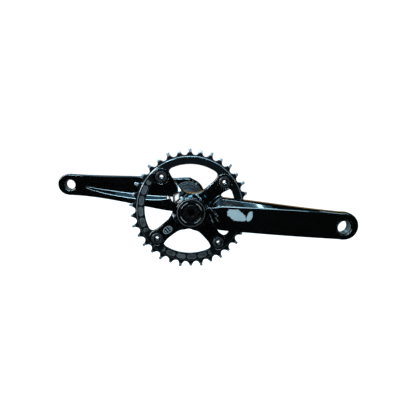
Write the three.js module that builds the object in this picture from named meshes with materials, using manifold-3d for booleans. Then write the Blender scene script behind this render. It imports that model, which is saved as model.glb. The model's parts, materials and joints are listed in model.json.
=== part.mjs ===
// A two-piece mountain bike crankset on its threaded external-cup bottom bracket.
// Millimetres. The spindle lies along Y and the drive side faces -Y; the drive-side arm points
// along +X and the non-drive arm along -X; Z is up. The origin is the bottom bracket's centre.
import * as THREE from 'three';
import { mergeVertices } from 'three/addons/utils/BufferGeometryUtils.js';
import Module from 'manifold-3d';

const wasm = await Module();
wasm.setup();

// ---- driving dimensions ----
const GAP = 0.3; // clearance between faces that touch on the real crankset
const CRANK_LENGTH = 175;
const HALF_Q = 85; // half the Q-factor: spindle centre to the outer face of a pedal eye
const CHAINLINE = 47.5;
const SHELL_HALF = 36.5; // half of a 73 mm bottom bracket shell
const BCD_RADIUS = 52;
const TEETH = 34;
const CHAIN_PITCH = 12.7;

const ARM = {
  eyeRadius: 15.6,
  eyeOffset: 1.8, // the eye's outline reaches past the pedal hole's centre
  eyeThickness: 13,
  pedalHole: 7.15,
  spotRadius: 9.4,
  spotDepth: 1,
  chamfer: 2.5,
  backChamfer: 1.4,
  hubFace: 68.3, // distance of a hub's outer face from the centre
};
const DRIVE_HUB = { radius: 20.8, back: 48.9, capBore: 15.2, shoulder: 62 };
const NON_DRIVE_HUB = { radius: 25.5, neck: 19.5, back: 52.4, counterbore: 13.6 };
const SPIDER = {
  back: 49.8,
  tabFront: 54.5,
  halfWidth: 8.9,
  tabRadius: 10.3,
  filletRadius: 20,
  spotRadius: 8.3,
  spotDepth: 1.2,
};
const RING = {
  bodyThickness: 4,
  innerRadius: 54,
  bodyRadius: 63.2,
  tabRadius: 9.3,
  rollerRadius: 4,
  narrow: { tip: 72.3, thickness: 2.1 },
  wide: { tip: 70.7, thickness: 3.7 },
};
const SPINDLE = { radius: 12, bore: 9.6, threadBore: 7.5, threadEnd: 45, driveEnd: 61.2, farEnd: 66 };
const SPINDLE_BORE = SPINDLE.radius + GAP; // every hole that the spindle runs through
const BOLT_SLEEVE_HOLE = 5.25;
const RING_BOLT = {
  bore: 2,
  shank: 4,
  shankLength: 7.4,
  headRadius: 6.6,
  headHeight: 2.2,
  socket: 5, // hexagon, across flats
  socketDepth: 4.2,
};
const RING_NUT = { bore: 4.3, sleeve: 4.95, sleeveLength: 7, flangeRadius: 6.3, flangeHeight: 1.3 };
const CRANK_BOLT = { hex: 8, headRadius: 9.8, headFace: 68.2, tip: 48, socketFloor: 60 };
const CUP = { threadRadius: 17.4, flangeRadius: 19.8, innerRadius: 15.6, threadLength: 10, flangeEnd: 46.9 };
const BEARING = {
  from: 39.7,
  to: 46.7,
  innerRadius: 12.25,
  outerRadius: 18.3,
  pitchRadius: 15.5,
  ballRadius: 1.5,
};
const BALLS = 12;
const SIDES = { hub: 36, eye: 32, tab: 18, fastener: 16, bearing: 24, ring: 28, cup: 36 };

// ---- solids ----
function solid(geometry) {
  const bare = geometry.clone();
  bare.deleteAttribute('normal');
  bare.deleteAttribute('uv');
  const merged = mergeVertices(bare, 1e-4);
  const vertProperties = new Float32Array(merged.attributes.position.array);
  const triVerts = new Uint32Array(merged.index.array);
  const made = new wasm.Manifold(new wasm.Mesh({ numProp: 3, vertProperties, triVerts }));
  if (made.volume() > 0) return made;
  for (let i = 0; i < triVerts.length; i += 3) {
    [triVerts[i], triVerts[i + 1]] = [triVerts[i + 1], triVerts[i]];
  }
  return new wasm.Manifold(new wasm.Mesh({ numProp: 3, vertProperties, triVerts }));
}

function toGeometry(made) {
  const mesh = made.getMesh();
  const geometry = new THREE.BufferGeometry();
  geometry.setAttribute('position', new THREE.BufferAttribute(new Float32Array(mesh.vertProperties), 3));
  geometry.setIndex(new THREE.BufferAttribute(new Uint32Array(mesh.triVerts), 1));
  geometry.computeVertexNormals();
  return geometry;
}

const joined = (solids) => solids.reduce((all, next) => all.add(next));
const cutBy = (body, cutters) => cutters.reduce((left, cutter) => left.subtract(cutter), body);

// A ring or disc turned about the spindle axis. Profile points are [radius, y].
function turned(profile, segments, x = 0, z = 0) {
  const closed = [...profile, profile[0]].map(([radius, y]) => new THREE.Vector2(radius, y));
  const geometry = new THREE.LatheGeometry(closed, segments);
  geometry.translate(x, 0, z);
  return solid(geometry);
}

const ringProfile = (inner, outer, from, to) => [[inner, from], [outer, from], [outer, to], [inner, to]];

// The same with no hole through it: the profile runs from the axis to the axis.
function spun(profile, segments, x = 0, z = 0) {
  const points = profile.map(([radius, y]) => new THREE.Vector2(radius, y));
  const geometry = new THREE.LatheGeometry(points, segments);
  geometry.translate(x, 0, z);
  return solid(geometry);
}

const disc = (radius, from, to, segments, x, z) =>
  spun([[0, from], [radius, from], [radius, to], [0, to]], segments, x, z);

// A flat outline in X and Z, standing from one y to another.
function plate(shape, from, to, curveSegments = 8) {
  const geometry = new THREE.ExtrudeGeometry(shape, { depth: to - from, bevelEnabled: false, curveSegments });
  geometry.rotateX(Math.PI / 2);
  geometry.translate(0, to, 0);
  return solid(geometry);
}

// Skins a row of rings of points, each with the same number of points, and caps both ends.
function loft(rings) {
  const count = rings[0].length;
  const positions = rings.flat(2);
  const index = [];
  for (let i = 0; i < rings.length - 1; i++) {
    for (let j = 0; j < count; j++) {
      const a = i * count + j;
      const b = i * count + ((j + 1) % count);
      index.push(a, b, a + count, b, b + count, a + count);
    }
  }
  const last = (rings.length - 1) * count;
  for (let j = 1; j < count - 1; j++) {
    index.push(0, j + 1, j, last, last + j, last + j + 1);
  }
  const geometry = new THREE.BufferGeometry();
  geometry.setAttribute('position', new THREE.BufferAttribute(new Float32Array(positions), 3));
  geometry.setIndex(index);
  return solid(geometry);
}

function hexagon(acrossFlats) {
  const shape = new THREE.Shape();
  const corner = acrossFlats / Math.sqrt(3);
  for (let i = 0; i < 6; i++) {
    const angle = (i * Math.PI) / 3;
    const point = [corner * Math.cos(angle), corner * Math.sin(angle)];
    if (i === 0) shape.moveTo(...point);
    else shape.lineTo(...point);
  }
  return shape;
}

const mirrorY = (profile) => profile.map(([radius, y]) => [radius, -y]);
const blend = (t) => t * t * (3 - 2 * t);
const between = (value, low, high) => Math.min(Math.max((value - low) / (high - low), 0), 1);

// ---- crank arms ----
// Both arms are drawn pointing along +X with their outer face towards -Y.
const ARM_BEND = { start: 12, end: 158 };

const outerFace = (x) =>
  -ARM.hubFace - (HALF_Q - ARM.hubFace) * blend(between(x, ARM_BEND.start, ARM_BEND.end));

function driveArmSection(x) {
  const along = between(x, 30, CRANK_LENGTH);
  const eyeInner = -HALF_Q + ARM.eyeThickness;
  return {
    outer: outerFace(x) + 0.4 * (1 - along),
    inner: THREE.MathUtils.lerp(-51, eyeInner, blend(between(x, 5, 172))),
    half: THREE.MathUtils.lerp(19.7, 15, blend(between(x, 20, 185))),
    faceHalf: THREE.MathUtils.lerp(12.2, 14, between(x, 30, 90)),
    bevelDepth: THREE.MathUtils.lerp(6, ARM.chamfer, along),
    middle: 0.6 * between(x, 60, 150),
  };
}

function nonDriveArmSection(x) {
  const along = blend(between(x, 15, 125));
  const eyeInner = -HALF_Q + ARM.eyeThickness;
  return {
    outer: outerFace(x),
    inner: THREE.MathUtils.lerp(-NON_DRIVE_HUB.back - 1, eyeInner, blend(between(x, 5, 172))),
    half: THREE.MathUtils.lerp(25.3, 15.3, along),
    faceHalf: THREE.MathUtils.lerp(19, 13.2, along),
    bevelDepth: THREE.MathUtils.lerp(6, ARM.chamfer, along),
    middle: 1.4 * Math.sin(Math.PI * between(x, 30, CRANK_LENGTH)),
  };
}

function armRing(x, section) {
  const { outer, inner, half, faceHalf, bevelDepth, middle } = section;
  const backHalf = half - ARM.backChamfer;
  return [
    [outer, -faceHalf],
    [outer, faceHalf],
    [outer + bevelDepth, half],
    [inner - ARM.backChamfer, half],
    [inner, backHalf],
    [inner, -backHalf],
    [inner - ARM.backChamfer, -half],
    [outer + bevelDepth, -half],
  ].map(([y, z]) => [x, y, z + middle]);
}

// The scooped channel along an arm's inner face, as a cutter.
function channel(sectionAt, start, end, halfWidth, depth) {
  const rings = [];
  const steps = 8;
  for (let i = 0; i <= steps; i++) {
    const t = i / steps;
    const x = THREE.MathUtils.lerp(start, end, t);
    const fullness = Math.sqrt(Math.sin(Math.PI * THREE.MathUtils.lerp(0.02, 0.98, t)));
    const half = halfWidth * fullness * (1 - 0.35 * t);
    const { inner } = sectionAt(x);
    const floor = inner - depth * fullness;
    rings.push([
      [x, inner + 1, -half],
      [x, inner, -half],
      [x, floor, -half * 0.4],
      [x, floor, half * 0.4],
      [x, inner, half],
      [x, inner + 1, half],
    ]);
  }
  return loft(rings);
}

function armBeam(sectionAt, stations) {
  return loft(stations.map((x) => armRing(x, sectionAt(x))));
}

function pedalEye() {
  const { eyeRadius, eyeThickness, chamfer, backChamfer } = ARM;
  const inner = -HALF_Q + eyeThickness;
  const profile = [
    [0, -HALF_Q],
    [eyeRadius - chamfer, -HALF_Q],
    [eyeRadius, -HALF_Q + chamfer],
    [eyeRadius, inner - backChamfer],
    [eyeRadius - backChamfer, inner],
    [0, inner],
  ];
  return spun(profile, SIDES.eye, CRANK_LENGTH + ARM.eyeOffset);
}

function pedalEyeClearance() {
  const inner = -HALF_Q + ARM.eyeThickness;
  const countersink = ARM.pedalHole + 1.3;
  return [
    disc(ARM.spotRadius, -HALF_Q - 1, -HALF_Q + ARM.spotDepth, SIDES.eye, CRANK_LENGTH),
    disc(ARM.pedalHole, -HALF_Q - 1, inner + 1, SIDES.eye, CRANK_LENGTH),
    spun([[0, inner - 2], [ARM.pedalHole - 0.7, inner - 2], [countersink + 1, inner + 1], [0, inner + 1]],
      SIDES.eye, CRANK_LENGTH),
  ];
}

// ---- drive-side arm and its four-arm spider ----
function spiderOutline() {
  const { halfWidth, tabRadius, filletRadius } = SPIDER;
  const filletDistance = (filletRadius + halfWidth) / Math.SQRT1_2;
  const tabStart = Math.PI - Math.asin(halfWidth / tabRadius);
  const shape = new THREE.Shape();
  for (let k = 0; k < 4; k++) {
    const arm = Math.PI / 4 + (k * Math.PI) / 2;
    const bisector = arm + Math.PI / 4;
    const tabX = BCD_RADIUS * Math.cos(arm);
    const tabZ = BCD_RADIUS * Math.sin(arm);
    shape.absarc(tabX, tabZ, tabRadius, arm - tabStart, arm + tabStart, false);
    const filletX = filletDistance * Math.cos(bisector);
    const filletZ = filletDistance * Math.sin(bisector);
    shape.absarc(filletX, filletZ, filletRadius, arm + Math.PI * 1.5, arm + Math.PI, true);
  }
  shape.closePath();
  return shape;
}

function boltPlaces() {
  return [45, 135, 225, 315].map((degrees) => {
    const angle = THREE.MathUtils.degToRad(degrees);
    return [BCD_RADIUS * Math.cos(angle), BCD_RADIUS * Math.sin(angle)];
  });
}

function spider() {
  const rise = spun([
    [0, -SPIDER.back],
    [70, -SPIDER.back],
    [70, -SPIDER.tabFront],
    [42, -SPIDER.tabFront],
    [33, -SPIDER.tabFront - 2.5],
    [25, -SPIDER.tabFront - 7],
    [21, -SPIDER.tabFront - 10.5],
    [0, -SPIDER.tabFront - 10.5],
  ], SIDES.bearing);
  return plate(spiderOutline(), -ARM.hubFace, -DRIVE_HUB.back, 5).intersect(rise);
}

// Fills the corners where the beam leaves the two forward spider arms.
function rootGussets() {
  const corner = new THREE.Shape([[24, 10], [35.5, 21.5], [39, 20.3], [46, 18.2], [55, 10]].map(
    ([x, z]) => new THREE.Vector2(x, z),
  ));
  const upper = plate(corner, -62, -54.8);
  return [upper, upper.mirror([0, 0, 1])];
}

function driveArm() {
  const hub = spun([
    [0, -DRIVE_HUB.back],
    [DRIVE_HUB.radius, -DRIVE_HUB.back],
    [DRIVE_HUB.radius, -ARM.hubFace + 1.8],
    [DRIVE_HUB.radius - 1.8, -ARM.hubFace],
    [0, -ARM.hubFace],
  ], SIDES.hub);
  const beam = armBeam(driveArmSection, [0, 25, 45, 65, 90, 115, 140, 160, CRANK_LENGTH]);
  const body = joined([hub, beam, spider(), pedalEye(), ...rootGussets()]);
  const boltHoles = boltPlaces().flatMap(([x, z]) => [
    disc(BOLT_SLEEVE_HOLE, -SPIDER.tabFront - 1, -SPIDER.back + 1, SIDES.tab, x, z),
    disc(SPIDER.spotRadius, -SPIDER.tabFront - 12, -SPIDER.tabFront + SPIDER.spotDepth, SIDES.tab, x, z),
  ]);
  return cutBy(body, [
    disc(SPINDLE_BORE, -DRIVE_HUB.shoulder - 1, -DRIVE_HUB.back + 1, SIDES.hub),
    disc(DRIVE_HUB.capBore, -ARM.hubFace - 1, -DRIVE_HUB.shoulder, SIDES.hub),
    ...pedalEyeClearance(),
    ...boltHoles,
    channel(driveArmSection, 80, 156, 11, 4),
  ]);
}

// ---- non-drive arm ----
function nonDriveArm() {
  const { radius, neck, back, counterbore } = NON_DRIVE_HUB;
  const boss = spun([
    [0, -back],
    [neck, -back],
    [radius, -back - 5.5],
    [radius, -ARM.hubFace + 3],
    [radius - 3, -ARM.hubFace],
    [0, -ARM.hubFace],
  ], SIDES.hub);
  const beam = armBeam(nonDriveArmSection, [0, 25, 40, 55, 70, 90, 115, 140, 160, CRANK_LENGTH]);
  const made = cutBy(joined([boss, beam, pedalEye()]), [
    disc(SPINDLE_BORE, -ARM.hubFace - 1, -back + 1, SIDES.hub),
    disc(counterbore, -ARM.hubFace - 1, -ARM.hubFace + 2, SIDES.hub),
    ...pedalEyeClearance(),
    channel(nonDriveArmSection, 30, 156, 13.5, 4.5),
  ]);
  return made.rotate([0, 0, 180]);
}

// ---- chainring: alternating narrow and wide teeth, with a tooth on +X ----
const PITCH_RADIUS = CHAIN_PITCH / (2 * Math.sin(Math.PI / TEETH));
const TOOTH_ANGLE = (2 * Math.PI) / TEETH;
const isWide = (k) => k % 2 === 0;

// The half width of a tooth at a radius above the roller seat, narrowing towards its tip.
function toothPoints(k, tip) {
  const middle = k * TOOTH_ANGLE;
  const seatEnd = THREE.MathUtils.degToRad(70);
  const seatRadius = PITCH_RADIUS - RING.rollerRadius * Math.cos(seatEnd);
  const baseHalf = seatRadius * Math.sin(TOOTH_ANGLE / 2) - RING.rollerRadius * Math.sin(seatEnd);
  const flank = [
    [seatRadius, baseHalf],
    [tip, baseHalf * 0.4],
  ];
  const place = ([radius, side]) => {
    const angle = middle + Math.asin(side / radius);
    return [radius * Math.cos(angle), radius * Math.sin(angle)];
  };
  const rising = flank.map(([radius, half]) => place([radius, -half]));
  const falling = flank.map(([radius, half]) => place([radius, half])).reverse();
  return [...rising, ...falling];
}

function seatPoints(k) {
  const middle = (k + 0.5) * TOOTH_ANGLE;
  const centre = [PITCH_RADIUS * Math.cos(middle), PITCH_RADIUS * Math.sin(middle)];
  return [-35, 0, 35].map((degrees) => {
    const angle = middle + Math.PI + THREE.MathUtils.degToRad(-degrees);
    const reach = RING.rollerRadius;
    return [centre[0] + reach * Math.cos(angle), centre[1] + reach * Math.sin(angle)];
  });
}

function circle(radius, x = 0, z = 0) {
  const path = new THREE.Path();
  path.absarc(x, z, radius, 0, 2 * Math.PI, false);
  return path;
}

// Teeth that are left out of the outline stop level with the ring's body.
function toothedPlate(thickness, keeps) {
  const points = [];
  for (let k = 0; k < TEETH; k++) {
    const tip = isWide(k) ? RING.wide.tip : RING.narrow.tip;
    if (keeps(k)) points.push(...toothPoints(k, tip));
    points.push(...seatPoints(k));
  }
  const shape = new THREE.Shape(points.map(([x, z]) => new THREE.Vector2(x, z)));
  shape.holes.push(circle(RING.bodyRadius - 3));
  return plate(shape, -CHAINLINE - thickness / 2, -CHAINLINE + thickness / 2, 18);
}

function chainring() {
  const from = -CHAINLINE - RING.bodyThickness / 2;
  const to = -CHAINLINE + RING.bodyThickness / 2;
  const annulus = new THREE.Shape();
  annulus.absarc(0, 0, RING.bodyRadius, 0, 2 * Math.PI, false);
  annulus.holes.push(circle(RING.innerRadius));
  const tabs = boltPlaces().map(([x, z]) => disc(RING.tabRadius, from, to, SIDES.tab, x, z));
  const holes = boltPlaces().map(([x, z]) => disc(BOLT_SLEEVE_HOLE, from - 1, to + 1, SIDES.tab, x, z));
  const body = joined([
    plate(annulus, from, to, 28),
    ...tabs,
    toothedPlate(RING.narrow.thickness, () => true),
    toothedPlate(RING.wide.thickness, isWide),
  ]);
  return cutBy(body, holes);
}

// ---- chainring bolts and their sleeve nuts ----
function chainringBolt([x, z]) {
  const { bore, shank, shankLength, headRadius, headHeight, socket, socketDepth } = RING_BOLT;
  const seat = -SPIDER.tabFront + SPIDER.spotDepth - GAP;
  const front = seat - headHeight;
  const body = turned([
    [bore, seat + shankLength],
    [shank, seat + shankLength],
    [shank, seat],
    [headRadius, seat],
    [headRadius, front + 0.8],
    [headRadius - 0.8, front],
    [bore, front],
  ], SIDES.fastener);
  return body.subtract(plate(hexagon(socket), front - 1, front + socketDepth)).translate([x, 0, z]);
}

function chainringNut([x, z]) {
  const { bore, sleeve, sleeveLength, flangeRadius, flangeHeight } = RING_NUT;
  const seat = -CHAINLINE + RING.bodyThickness / 2 + GAP;
  return turned([
    [bore, seat - sleeveLength],
    [sleeve, seat - sleeveLength],
    [sleeve, seat],
    [flangeRadius, seat],
    [flangeRadius, seat + flangeHeight],
    [bore, seat + flangeHeight],
  ], SIDES.fastener, x, z);
}

// ---- spindle and what holds the drive arm on it ----
function spindle() {
  return turned([
    [SPINDLE.threadBore, -SPINDLE.driveEnd],
    [SPINDLE.radius - 1, -SPINDLE.driveEnd],
    [SPINDLE.radius, -SPINDLE.driveEnd + 1],
    [SPINDLE.radius, SPINDLE.farEnd],
    [SPINDLE.bore, SPINDLE.farEnd],
    [SPINDLE.bore, -SPINDLE.threadEnd],
    [SPINDLE.threadBore, -SPINDLE.threadEnd],
  ], SIDES.ring);
}

const BOLT_FLANGE = { radius: 14, from: 63.5, to: 65.3 };

function crankBolt() {
  const { hex, headRadius, headFace, tip, socketFloor } = CRANK_BOLT;
  const body = spun([
    [0, -tip],
    [SPINDLE.threadBore - GAP, -tip],
    [SPINDLE.threadBore - GAP, -BOLT_FLANGE.from],
    [BOLT_FLANGE.radius, -BOLT_FLANGE.from],
    [BOLT_FLANGE.radius, -BOLT_FLANGE.to],
    [headRadius, -BOLT_FLANGE.to],
    [headRadius, -headFace],
    [0, -headFace],
  ], SIDES.ring);
  return body.subtract(plate(hexagon(hex), -headFace - 1, -socketFloor));
}

function crankBoltWasher() {
  const from = -BOLT_FLANGE.from + GAP;
  return turned(ringProfile(7.8, BOLT_FLANGE.radius, from, -DRIVE_HUB.shoulder - GAP), SIDES.ring);
}

function extractorCap() {
  const face = -ARM.hubFace - GAP;
  return turned([
    [10.4, -BOLT_FLANGE.to - GAP],
    [DRIVE_HUB.capBore - GAP, -BOLT_FLANGE.to - GAP],
    [DRIVE_HUB.capBore - GAP, face],
    [15.9, face],
    [15.9, face - 0.7],
    [15.3, face - 1.1],
    [10.9, face - 1.1],
    [10.4, face - 0.6],
  ], SIDES.hub);
}

// ---- spacers beside the non-drive arm ----
const nonDriveSpacer = () => turned(ringProfile(SPINDLE_BORE, 16.6, 48.7, 50.9), SIDES.ring);

// A wave washer: three shallow waves round a thin ring.
function waveWasher() {
  const middle = 51.65;
  const section = [[SPINDLE_BORE, -0.2], [15.8, -0.2], [15.8, 0.2], [SPINDLE_BORE, 0.2]];
  const closed = [...section, section[0]].map(([radius, y]) => new THREE.Vector2(radius, y));
  const geometry = new THREE.LatheGeometry(closed, SIDES.ring);
  const position = geometry.attributes.position;
  for (let i = 0; i < position.count; i++) {
    const angle = Math.atan2(position.getZ(i), position.getX(i));
    position.setY(i, position.getY(i) + middle + 0.18 * Math.sin(3 * angle));
  }
  return solid(geometry);
}

// ---- bottom bracket, drawn for the +Y side; the drive side is its mirror ----
function cup(side) {
  const { threadRadius, flangeRadius, innerRadius, threadLength, flangeEnd } = CUP;
  const bearingBore = BEARING.outerRadius + 0.25;
  const body = turned([
    [innerRadius, SHELL_HALF - threadLength],
    [threadRadius - 0.6, SHELL_HALF - threadLength],
    [threadRadius, SHELL_HALF - threadLength + 0.6],
    [threadRadius, SHELL_HALF],
    [flangeRadius, SHELL_HALF],
    [flangeRadius, flangeEnd],
    [bearingBore, flangeEnd],
    [bearingBore, BEARING.from - GAP],
    [innerRadius, BEARING.from - GAP],
  ].map(([radius, y]) => [radius, side * y]), SIDES.cup);
  const notches = [];
  for (let k = 0; k < 16; k++) {
    const angle = ((k + 0.5) * Math.PI) / 8;
    const reach = flangeRadius + 0.5;
    const span = [SHELL_HALF + 3, flangeEnd + 1].map((y) => side * y).sort((a, b) => a - b);
    notches.push(disc(1.5, span[0], span[1], 5, reach * Math.cos(angle), reach * Math.sin(angle)));
  }
  return cutBy(body, notches);
}

const GROOVE_MIDDLE = (BEARING.from + BEARING.to) / 2;
const RACE = { innerLand: 14.3, outerLand: 16.7, grooveHalf: 2 };

function innerRace(side) {
  const { from, to, innerRadius, pitchRadius, ballRadius } = BEARING;
  const groove = pitchRadius - ballRadius - 0.12;
  return turned([
    [innerRadius, from],
    [RACE.innerLand, from],
    [RACE.innerLand, GROOVE_MIDDLE - RACE.grooveHalf],
    [groove, GROOVE_MIDDLE],
    [RACE.innerLand, GROOVE_MIDDLE + RACE.grooveHalf],
    [RACE.innerLand, to],
    [innerRadius, to],
  ].map(([radius, y]) => [radius, side * y]), SIDES.bearing);
}

function outerRace(side) {
  const { from, to, outerRadius, pitchRadius, ballRadius } = BEARING;
  const groove = pitchRadius + ballRadius + 0.2;
  return turned([
    [outerRadius, from],
    [RACE.outerLand, from],
    [RACE.outerLand, GROOVE_MIDDLE - RACE.grooveHalf],
    [groove, GROOVE_MIDDLE],
    [RACE.outerLand, GROOVE_MIDDLE + RACE.grooveHalf],
    [RACE.outerLand, to],
    [outerRadius, to],
  ].map(([radius, y]) => [radius, side * y]), SIDES.bearing);
}

function bearingSeal(side, y) {
  const profile = ringProfile(RACE.innerLand + 0.2, RACE.outerLand - 0.2, y - GAP, y + GAP);
  return turned(side > 0 ? profile : mirrorY(profile), SIDES.bearing);
}

// The balls and the cage that spaces them, as one piece.
function ballCage(side) {
  const middle = side * GROOVE_MIDDLE;
  const cage = turned(ringProfile(15, 16, middle - 0.8, middle + 0.8), SIDES.bearing);
  const balls = [];
  for (let k = 0; k < BALLS; k++) {
    const angle = (k * 2 * Math.PI) / BALLS;
    const ball = solid(new THREE.SphereGeometry(BEARING.ballRadius, 6, 3));
    const { pitchRadius } = BEARING;
    balls.push(ball.translate([pitchRadius * Math.cos(angle), middle, pitchRadius * Math.sin(angle)]));
  }
  return joined([cage, ...balls]);
}

const centreSleeve = () => turned(ringProfile(14.4, CUP.innerRadius - GAP, -31, 31), SIDES.bearing);

function sleeveRing(side) {
  const middle = side * 33;
  return turned([
    [13.6, middle - 0.5],
    [14.45, middle - 0.9],
    [15.3, middle - 0.5],
    [15.3, middle + 0.5],
    [14.45, middle + 0.9],
    [13.6, middle + 0.5],
  ], SIDES.bearing);
}

function dustCover(side) {
  const profile = [
    [SPINDLE_BORE, 47.2],
    [19.2, 47.2],
    [19.2, 47.9],
    [18.2, 48.4],
    [SPINDLE_BORE, 48.4],
  ];
  return turned(side > 0 ? profile : mirrorY(profile), SIDES.ring);
}

// ---- materials ----
const finish = (color, roughness, metalness) =>
  new THREE.MeshStandardMaterial({ color, roughness, metalness });
const FINISH = {
  arm: () => finish(0x08090b, 0.16, 0.3),
  ring: () => finish(0x101214, 0.38, 0.6),
  fastener: () => finish(0x1a1b1d, 0.35, 0.8),
  steel: () => finish(0x9aa0a6, 0.3, 1),
  cap: () => finish(0x0b0b0c, 0.3, 0.5),
  cup: () => finish(0x0d0e10, 0.35, 0.6),
  plastic: () => finish(0x141414, 0.6, 0),
  rubber: () => finish(0x0c0c0c, 0.85, 0),
};

// ---- the crankset ----
const crankset = new THREE.Group();
crankset.name = 'bicycle_crankset';

function addPiece(name, made, material) {
  const mesh = new THREE.Mesh(toGeometry(made), material);
  mesh.name = name;
  crankset.add(mesh);
}

addPiece('drive_arm', driveArm(), FINISH.arm());
addPiece('non_drive_arm', nonDriveArm(), FINISH.arm());
addPiece('spindle', spindle(), FINISH.steel());
addPiece('chainring', chainring(), FINISH.ring());
boltPlaces().forEach((place, i) => {
  addPiece(`chainring_bolt_${i + 1}`, chainringBolt(place), FINISH.fastener());
  addPiece(`chainring_nut_${i + 1}`, chainringNut(place), FINISH.fastener());
});
addPiece('crank_bolt', crankBolt(), FINISH.fastener());
addPiece('crank_bolt_washer', crankBoltWasher(), FINISH.steel());
addPiece('extractor_cap', extractorCap(), FINISH.cap());
addPiece('non_drive_spacer', nonDriveSpacer(), FINISH.plastic());
addPiece('wave_washer', waveWasher(), FINISH.steel());
for (const [prefix, side] of [['drive', -1], ['non_drive', 1]]) {
  addPiece(`${prefix}_cup`, cup(side), FINISH.cup());
  addPiece(`${prefix}_bearing_outer_race`, outerRace(side), FINISH.steel());
  addPiece(`${prefix}_bearing_inner_race`, innerRace(side), FINISH.steel());
  addPiece(`${prefix}_ball_cage`, ballCage(side), FINISH.steel());
  addPiece(`${prefix}_bearing_inboard_seal`, bearingSeal(side, BEARING.from + 0.7), FINISH.rubber());
  addPiece(`${prefix}_bearing_outboard_seal`, bearingSeal(side, BEARING.to - 0.7), FINISH.rubber());
  addPiece(`${prefix}_dust_cover`, dustCover(side), FINISH.plastic());
  addPiece(`${prefix}_sleeve_ring`, sleeveRing(side), FINISH.rubber());
}
addPiece('centre_sleeve', centreSleeve(), FINISH.plastic());

export default crankset;
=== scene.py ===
import json
import math
import random

import bmesh
import bpy
import numpy as np
from mathutils import Matrix, Vector


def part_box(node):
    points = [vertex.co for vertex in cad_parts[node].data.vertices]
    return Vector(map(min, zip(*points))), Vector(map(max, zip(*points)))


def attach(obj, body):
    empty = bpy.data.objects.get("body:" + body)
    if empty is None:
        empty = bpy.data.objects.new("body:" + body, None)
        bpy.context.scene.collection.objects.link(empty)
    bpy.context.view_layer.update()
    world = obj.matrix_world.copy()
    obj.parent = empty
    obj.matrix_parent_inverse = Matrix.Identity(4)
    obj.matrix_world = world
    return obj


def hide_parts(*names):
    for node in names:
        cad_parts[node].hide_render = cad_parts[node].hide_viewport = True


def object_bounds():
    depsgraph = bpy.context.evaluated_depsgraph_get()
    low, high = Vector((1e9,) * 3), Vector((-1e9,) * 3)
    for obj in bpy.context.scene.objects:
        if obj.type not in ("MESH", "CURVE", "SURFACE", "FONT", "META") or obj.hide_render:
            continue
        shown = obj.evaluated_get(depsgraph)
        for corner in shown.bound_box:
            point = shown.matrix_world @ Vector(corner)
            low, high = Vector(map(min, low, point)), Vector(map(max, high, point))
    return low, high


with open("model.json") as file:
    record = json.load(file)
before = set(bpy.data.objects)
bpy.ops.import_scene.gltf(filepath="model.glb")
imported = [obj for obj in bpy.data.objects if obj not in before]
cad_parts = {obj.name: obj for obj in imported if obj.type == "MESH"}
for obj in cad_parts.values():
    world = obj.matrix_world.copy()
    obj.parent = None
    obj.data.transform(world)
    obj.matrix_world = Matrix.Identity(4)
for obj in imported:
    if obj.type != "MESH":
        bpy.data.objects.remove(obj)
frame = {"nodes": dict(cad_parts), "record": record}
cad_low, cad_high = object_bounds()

# Lengths in the shape functions are millimetres in the row frame; meshes are scaled to metres.
MM = 0.001
PER_METRE = 1000.0

MOUNTS = {m["name"]: m for m in frame["record"]["mounts"]}
CRANK = MOUNTS["drive_pedal_seat"]["pos_m"][0] / MM  # spindle to pedal
HALF_Q = -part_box("drive_arm")[0].y / MM  # bike's middle to the outermost face of an arm
RING_MIDDLE = -(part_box("chainring")[0].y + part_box("chainring")[1].y) / 2 / MM

HUB_FACE = 68.3  # bike's middle to an arm's face at the spindle
HUB_HOLE = 12.3
HUB_STEPS = 3.0  # spacing of the turned steps behind the non-drive hub
NON_DRIVE_BACK = 52.4  # bike's middle to the back of the non-drive hub
EYE_THICKNESS = 13
EYE_SHIFT = 1.8  # the round end of an eye is centred this far past the pedal's axis
PEDAL_THREAD_PITCH = 1.27

BOLT_CIRCLE = 52.0  # a radius
BOLT_HOLE = 5.25
BOLT_ANGLES = (45, 135, 225, 315)

TEETH = 34
CHAIN_PITCH = 12.7
PITCH_RADIUS = CHAIN_PITCH / 2 / math.sin(math.pi / TEETH)


# ---- small maths ----
def between(value, low, high):
    return np.clip((value - low) / (high - low), 0, 1)


def blend(t):
    return t * t * (3 - 2 * t)


def lerp(a, b, t):
    return a + (b - a) * t


def smooth_min(a, b, k):
    h = np.maximum(k - np.abs(a - b), 0) / k
    return np.minimum(a, b) - h * h * k / 4


def smooth_max(a, b, k):
    return -smooth_min(-a, -b, k)


# ---- meshes from signed distance fields ----
def sample(field, low, cells, step, block=4, nearby=1.9):
    """The field on a grid, worked out point by point only in the blocks near its surface."""
    counts = -(-cells // block)
    grid = np.stack(np.meshgrid(*(np.arange(n) for n in counts), indexing="ij"), -1).reshape(-1, 3)
    rough = field(low + (grid * block + (block - 1) / 2) * step)
    values = np.repeat(rough[:, None], block**3, 1)
    near = np.abs(rough) < step * block * nearby
    inside = np.stack(np.meshgrid(*(np.arange(block),) * 3, indexing="ij"), -1).reshape(-1, 3)
    points = low + (grid[near][:, None] * block + inside[None]) * step
    values[near] = field(points.reshape(-1, 3)).reshape(-1, block**3)
    values = values.reshape(*counts, block, block, block).transpose(0, 3, 1, 4, 2, 5)
    return values.reshape(*(counts * block))


CORNERS = np.array([(i, j, k) for i in (0, 1) for j in (0, 1) for k in (0, 1)])
EDGES = [(a, b) for a in range(8) for b in range(a + 1, 8) if np.abs(CORNERS[a] - CORNERS[b]).sum() == 1]


def gradient(field, points, reach):
    steps = np.eye(3) * reach
    return np.stack([field(points + s) - field(points - s) for s in steps], 1) / (2 * reach)


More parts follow.
